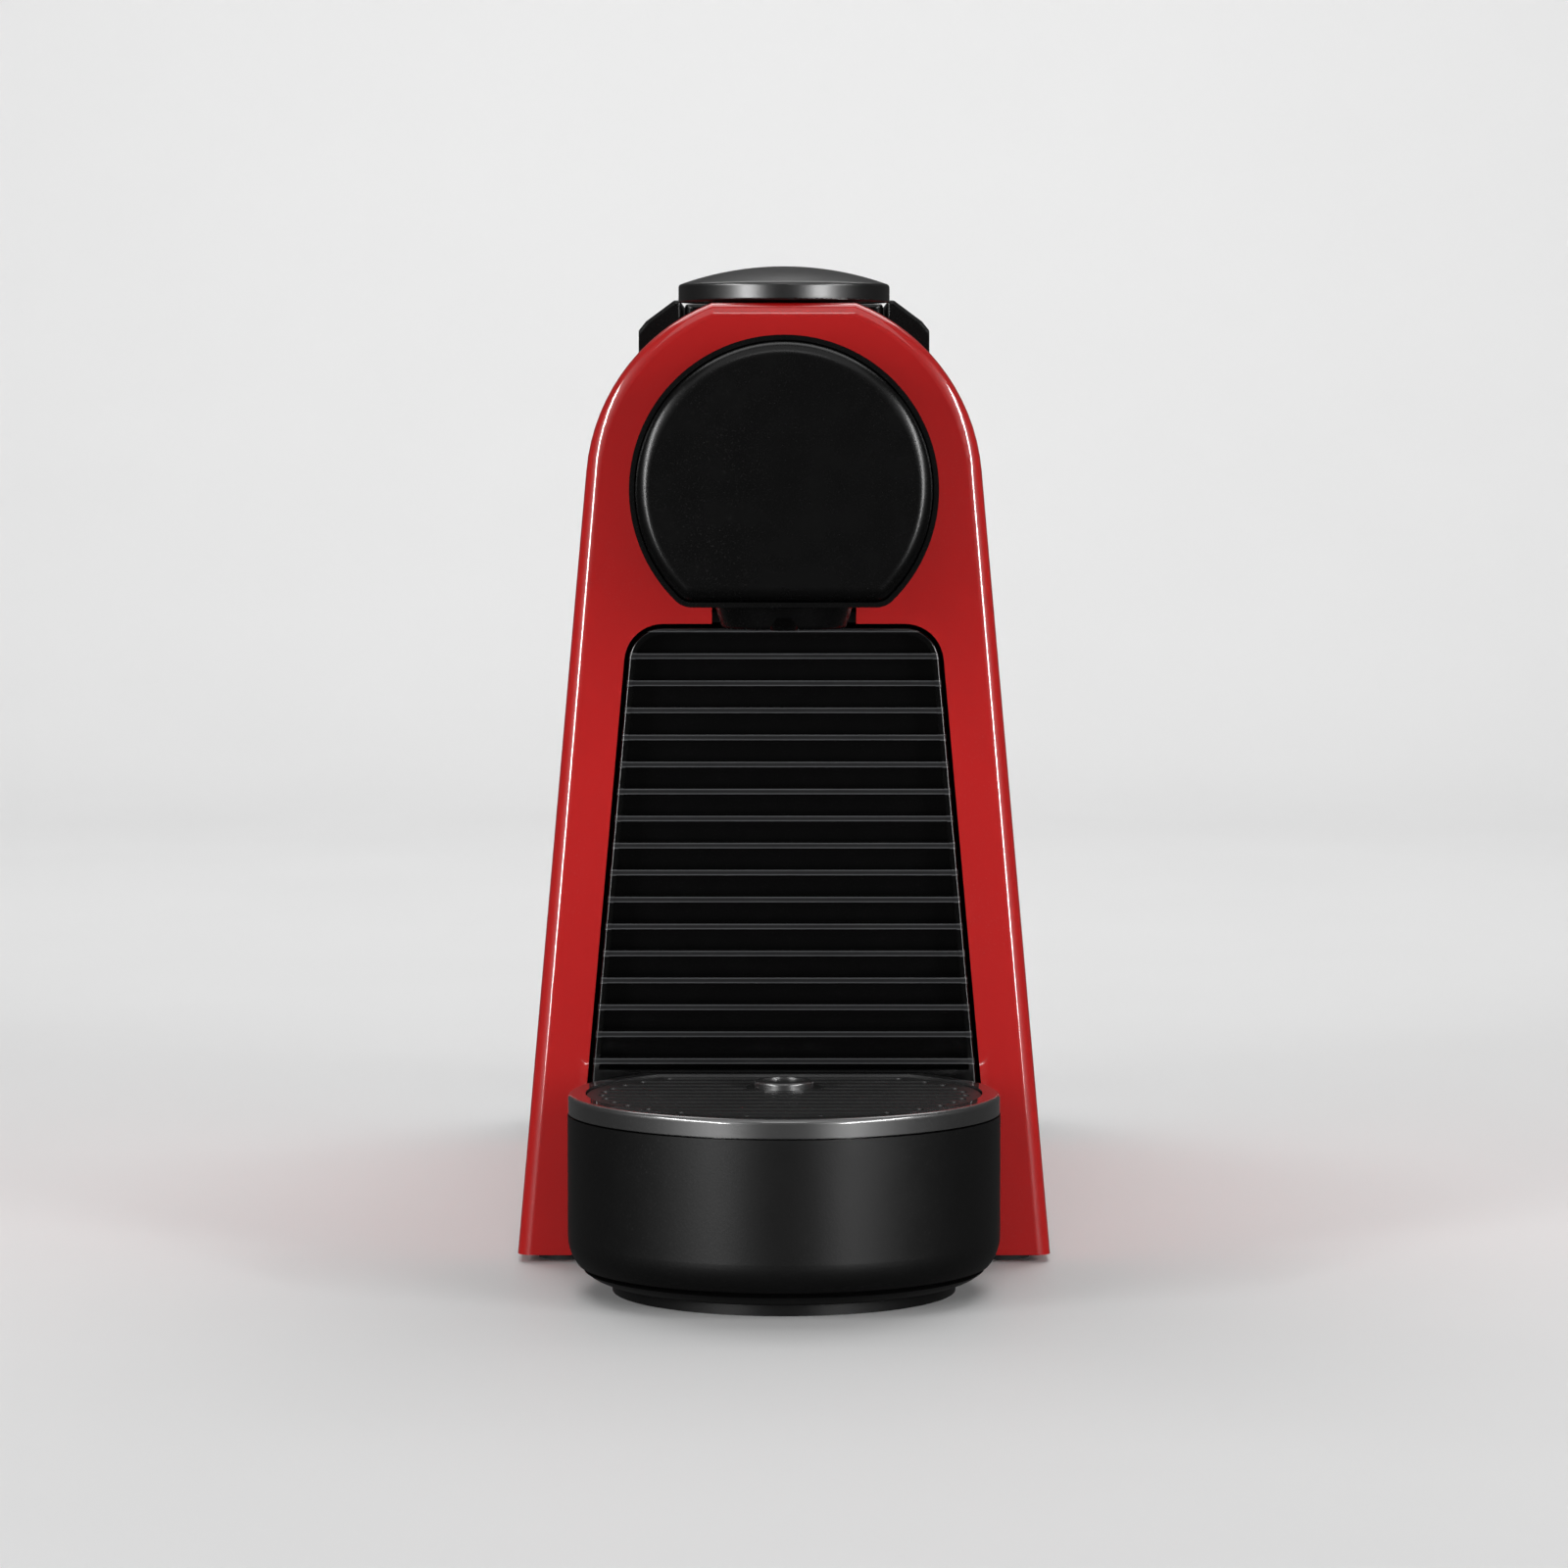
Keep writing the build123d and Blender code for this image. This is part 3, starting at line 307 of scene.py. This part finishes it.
def milky_hose():
    """Translucent silicone hose with a faint extrusion grain."""
    finish = Finish("hose")
    grain = finish.noise(1.5, 3.0)
    finish.set(
        Base_Color=finish.blend(grain, (0.62, 0.61, 0.57), (0.74, 0.73, 0.70)),
        Roughness=0.35 + grain * 0.15,
        Normal=finish.bump(grain, 0.02, 0.3),
    )
    finish.shader.inputs["Transmission Weight"].default_value = 0.25
    return finish.material


def smoked_tank():
    """Smoked clear plastic with limescale freckles."""
    finish = Finish("clear_smoke")
    scale = finish.ramp(finish.noise(1.6, 4.0), (0.58, 0.0), (0.75, 1.0))
    haze = finish.noise(18.0, 2.0)
    finish.set(
        Base_Color=finish.blend(scale * 0.3, (0.66, 0.68, 0.72), (0.80, 0.80, 0.78)),
        Roughness=0.03 + haze * 0.03 + scale * 0.10,
        Normal=finish.bump(finish.noise(6.0, 2.0), 0.03, 0.1),
    )
    finish.shader.inputs["Transmission Weight"].default_value = 1.0
    finish.shader.inputs["IOR"].default_value = 1.49
    return finish.material


def key_print():
    """White pad-print ink, slightly uneven."""
    finish = Finish("key_print")
    wear = finish.noise(0.8, 3.0)
    finish.set(
        Base_Color=finish.blend(wear, (0.70, 0.70, 0.70), (0.82, 0.82, 0.82)),
        Roughness=0.45 + wear * 0.2,
        Normal=finish.bump(wear, 0.01, 0.3),
    )
    return finish.material


FINISHES = {
    "red_gloss": red_lacquer(),
    "black_matte": moulded_black("black_matte", 0.0016, 0.40, 0.35, 0.03, gleam=0.22),
    "black_satin": moulded_black("black_satin", 0.0011, 0.24, 0.3, 0.008, gleam=0.22),
    "black_gloss": moulded_black("black_gloss", 0.002, 0.10, 1.2, 0.006, coat=0.9, gleam=0.5),
    "grey_plastic": grey_moulding(),
    "clear_smoke": smoked_tank(),
    "rubber": soft_rubber(),
    "steel": ground_steel(),
    "cast_alu": cast_metal("cast_alu", (0.46, 0.46, 0.48), (0.58, 0.58, 0.58), 0.42),
    "brass": cast_metal("brass", (0.55, 0.38, 0.14), (0.68, 0.50, 0.22), 0.25),
    "board": lacquered_board(),
    "hose": milky_hose(),
}

# pieces whose moulding differs from the rest of their slot
OWN_FINISHES = {
    "pod_bin": ribbed_black(),
    "drip_grid": moulded_black("grid_black", 0.003, 0.40, 0.4, 0.002, gleam=0.6),
    "lever_knob": moulded_black("knob_black", 0.0015, 0.30, 1.0, 0.002, gleam=0.7),
    "tray_rim": moulded_black("rim_black", 0.004, 0.36, 0.8, 0.002, coat=1.0, gleam=1.0),
    "grid_eyelet": moulded_black("eyelet_black", 0.02, 0.30, 1.0, 0.002, gleam=1.0),
}


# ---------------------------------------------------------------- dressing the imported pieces
SMOOTH_ANGLE = math.radians(28)
BEVEL_ANGLE = math.radians(35)
PLAIN_EDGE_MM = 0.15
SOFT_EDGES_MM = {
    "body_shell": 0.25, "pod_bin": 0.28, "drip_tray": 0.3, "tray_rim": 0.25, "drip_grid": 0.3,
    "head_sleeve": 0.3, "head_cap": 0.2, "outlet_hood": 0.3, "top_housing": 0.35, "lever_arm": 0.4,
    "tank_lid": 0.4, "base_plate": 0.4, "chassis": 0.3,
}


def dress(node, obj, slot):
    """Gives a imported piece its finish, smooth curved faces and softened edges."""
    obj.data.materials.clear()
    obj.data.materials.append(OWN_FINISHES.get(node, FINISHES[slot]))
    for face in obj.data.polygons:
        face.use_smooth = True
    soften = obj.modifiers.new("soft_edges", "BEVEL")
    soften.width = SOFT_EDGES_MM.get(node, PLAIN_EDGE_MM) * MM
    soften.segments = 3
    soften.limit_method = "ANGLE"
    soften.angle_limit = BEVEL_ANGLE
    soften.harden_normals = True
    # the short arcs at the rib ends would clamp the whole bin's edges to nothing
    soften.use_clamp_overlap = node != "pod_bin"


def smooth_by_angle(obj):
    """Keeps sharp corners sharp while curved faces shade as one surface."""
    mesh = obj.data
    work = bmesh.new()
    work.from_mesh(mesh)
    sharp = [e.index for e in work.edges if len(e.link_faces) != 2 or e.calc_face_angle(0.0) > SMOOTH_ANGLE]
    work.free()
    for index in sharp:
        mesh.edges[index].use_edge_sharp = True


slots = {part["node"]: part["material_slot"] for part in frame["record"]["subparts"]}
for node, obj in frame["nodes"].items():
    dress(node, obj, slots[node])
    smooth_by_angle(obj)


# ---------------------------------------------------------------- printed cup marks on the keys
MARK_WIDTH = 4.0 * MM
MARK_LIFT = 0.05 * MM
HANDLE_STEPS = 10


def cup_mark(name, centre, height, body):
    """A flat cup with a handle, printed on a key's top."""
    work = bmesh.new()
    rim = MARK_WIDTH / 2
    foot = MARK_WIDTH * 0.32
    outline = [(-rim, height / 2), (-foot, -height / 2), (foot, -height / 2), (rim, height / 2)]
    work.faces.new([work.verts.new((x, y, MARK_LIFT)) for x, y in outline])
    ring = []
    for i in range(HANDLE_STEPS + 1):
        turn = math.pi * (i / HANDLE_STEPS - 0.5)
        for reach in (MARK_WIDTH * 0.17, MARK_WIDTH * 0.26):
            x = rim * 0.86 + reach * math.cos(turn)
            y = height * 0.08 + reach * math.sin(turn)
            ring.append(work.verts.new((x, y, MARK_LIFT)))
    for i in range(HANDLE_STEPS):
        work.faces.new((ring[2 * i], ring[2 * i + 1], ring[2 * i + 3], ring[2 * i + 2]))
    bmesh.ops.recalc_face_normals(work, faces=work.faces)
    for face in work.faces:
        if face.normal.z < 0:
            face.normal_flip()
    mesh = bpy.data.meshes.new(name)
    work.to_mesh(mesh)
    work.free()
    mark = bpy.data.objects.new(name, mesh)
    mark.location = centre
    bpy.context.scene.collection.objects.link(mark)
    mesh.materials.append(PRINT)
    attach(mark, body)


PRINT = key_print()
KEYS = (("short_button", "short_key", 3.2 * MM), ("long_button", "long_key", 4.6 * MM))
for node, body, height in KEYS:
    low, high = (Vector(corner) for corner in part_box(node))
    top = Vector(((low.x + high.x) / 2, (low.y + high.y) / 2, high.z))
    cup_mark(node + "_mark", top, height, body)


# ---------------------------------------------------------------- floor, lights and camera
SWEEP_FRONT = -2.4
SWEEP_BACK = 1.2
SWEEP_BEND = 0.7
SWEEP_TOP = 3.2
SWEEP_HALF_WIDTH = 3.0
BEND_STEPS = 12


def backdrop():
    """A pale sweep: flat floor that curves up well behind the machine, and isn't mirrored in it."""
    finish = Finish("pale_sweep")
    mottling = finish.noise(120.0, 2.0)
    finish.set(
        Base_Color=finish.blend(mottling, (0.80, 0.80, 0.80), (0.82, 0.82, 0.82)),
        Roughness=0.55 + mottling * 0.05,
    )
    rows = [(SWEEP_FRONT, 0.0), (SWEEP_BACK, 0.0)]
    for i in range(1, BEND_STEPS + 1):
        turn = math.radians(90 * i / BEND_STEPS)
        rise = SWEEP_BEND * (1 - math.cos(turn))
        rows.append((SWEEP_BACK + SWEEP_BEND * math.sin(turn), rise))
    rows.append((SWEEP_BACK + SWEEP_BEND, SWEEP_TOP))
    mesh = bpy.data.meshes.new("pale_sweep")
    points = [(side * SWEEP_HALF_WIDTH, y, z) for y, z in rows for side in (-1, 1)]
    faces = [(2 * i, 2 * i + 1, 2 * i + 3, 2 * i + 2) for i in range(len(rows) - 1)]
    mesh.from_pydata(points, [], faces)
    for face in mesh.polygons:
        face.use_smooth = True
    mesh.materials.append(finish.material)
    sweep = bpy.data.objects.new("pale_sweep", mesh)
    bpy.context.scene.collection.objects.link(sweep)
    sweep.visible_glossy = False


def panel_light(name, place, target, width, height, power, gloss_only=False):
    """A soft rectangular lamp aimed at a point; a gloss-only one draws highlights and no more."""
    data = bpy.data.lights.new(name, "AREA")
    data.shape = "RECTANGLE"
    data.size = width
    data.size_y = height
    data.energy = power
    lamp = bpy.data.objects.new(name, data)
    lamp.location = place
    aim = Vector(target) - Vector(place)
    lamp.rotation_euler = aim.to_track_quat("-Z", "Z").to_euler()
    lamp.visible_diffuse = not gloss_only
    bpy.context.scene.collection.objects.link(lamp)


backdrop()
STRIP_AIM = (0.0, -0.05, 0.08)
EDGE_AIM = (0.0, -0.05, 0.12)
panel_light("left_strip", (-0.95, -1.00, 0.40), STRIP_AIM, 0.07, 1.3, 9.0)
panel_light("right_strip", (0.95, -1.00, 0.40), STRIP_AIM, 0.07, 1.3, 9.0)
panel_light("overhead", (0.0, 0.60, 1.5), (0.0, 0.25, 0.0), 1.8, 1.2, 15.0)
panel_light("front_fill", (0.0, -2.2, 1.6), (0.0, -0.1, 0.05), 1.0, 0.4, 6.0)
panel_light("left_edge", (-1.02, -0.93, 0.45), EDGE_AIM, 0.14, 1.6, 20.0, gloss_only=True)
panel_light("right_edge", (1.02, -0.93, 0.45), EDGE_AIM, 0.14, 1.6, 20.0, gloss_only=True)
panel_light("canopy", (0.0, -1.1, 1.8), (0.0, 0.0, 0.1), 2.4, 1.6, 14.0, gloss_only=True)
panel_light("back_glow", (0.0, 1.1, 1.8), (0.0, 1.9, 0.5), 2.6, 0.6, 14.0)

world = bpy.data.worlds.new("studio")
world.use_nodes = True
background = world.node_tree.nodes["Background"]
background.inputs["Color"].default_value = (1.0, 1.0, 1.0, 1.0)
background.inputs["Strength"].default_value = 0.07
bpy.context.scene.world = world

camera_data = bpy.data.cameras.new("camera")
camera_data.lens = 122.2
camera_data.sensor_width = 36.0
camera = bpy.data.objects.new("camera", camera_data)
camera.location = (0.0, -1.176, 0.168)
CAMERA_DIP_DEGREES = 3.62
camera.rotation_euler = (math.radians(90 - CAMERA_DIP_DEGREES), 0.0, 0.0)
bpy.context.scene.collection.objects.link(camera)
bpy.context.scene.camera = camera
bpy.context.scene.view_settings.view_transform = "Standard"
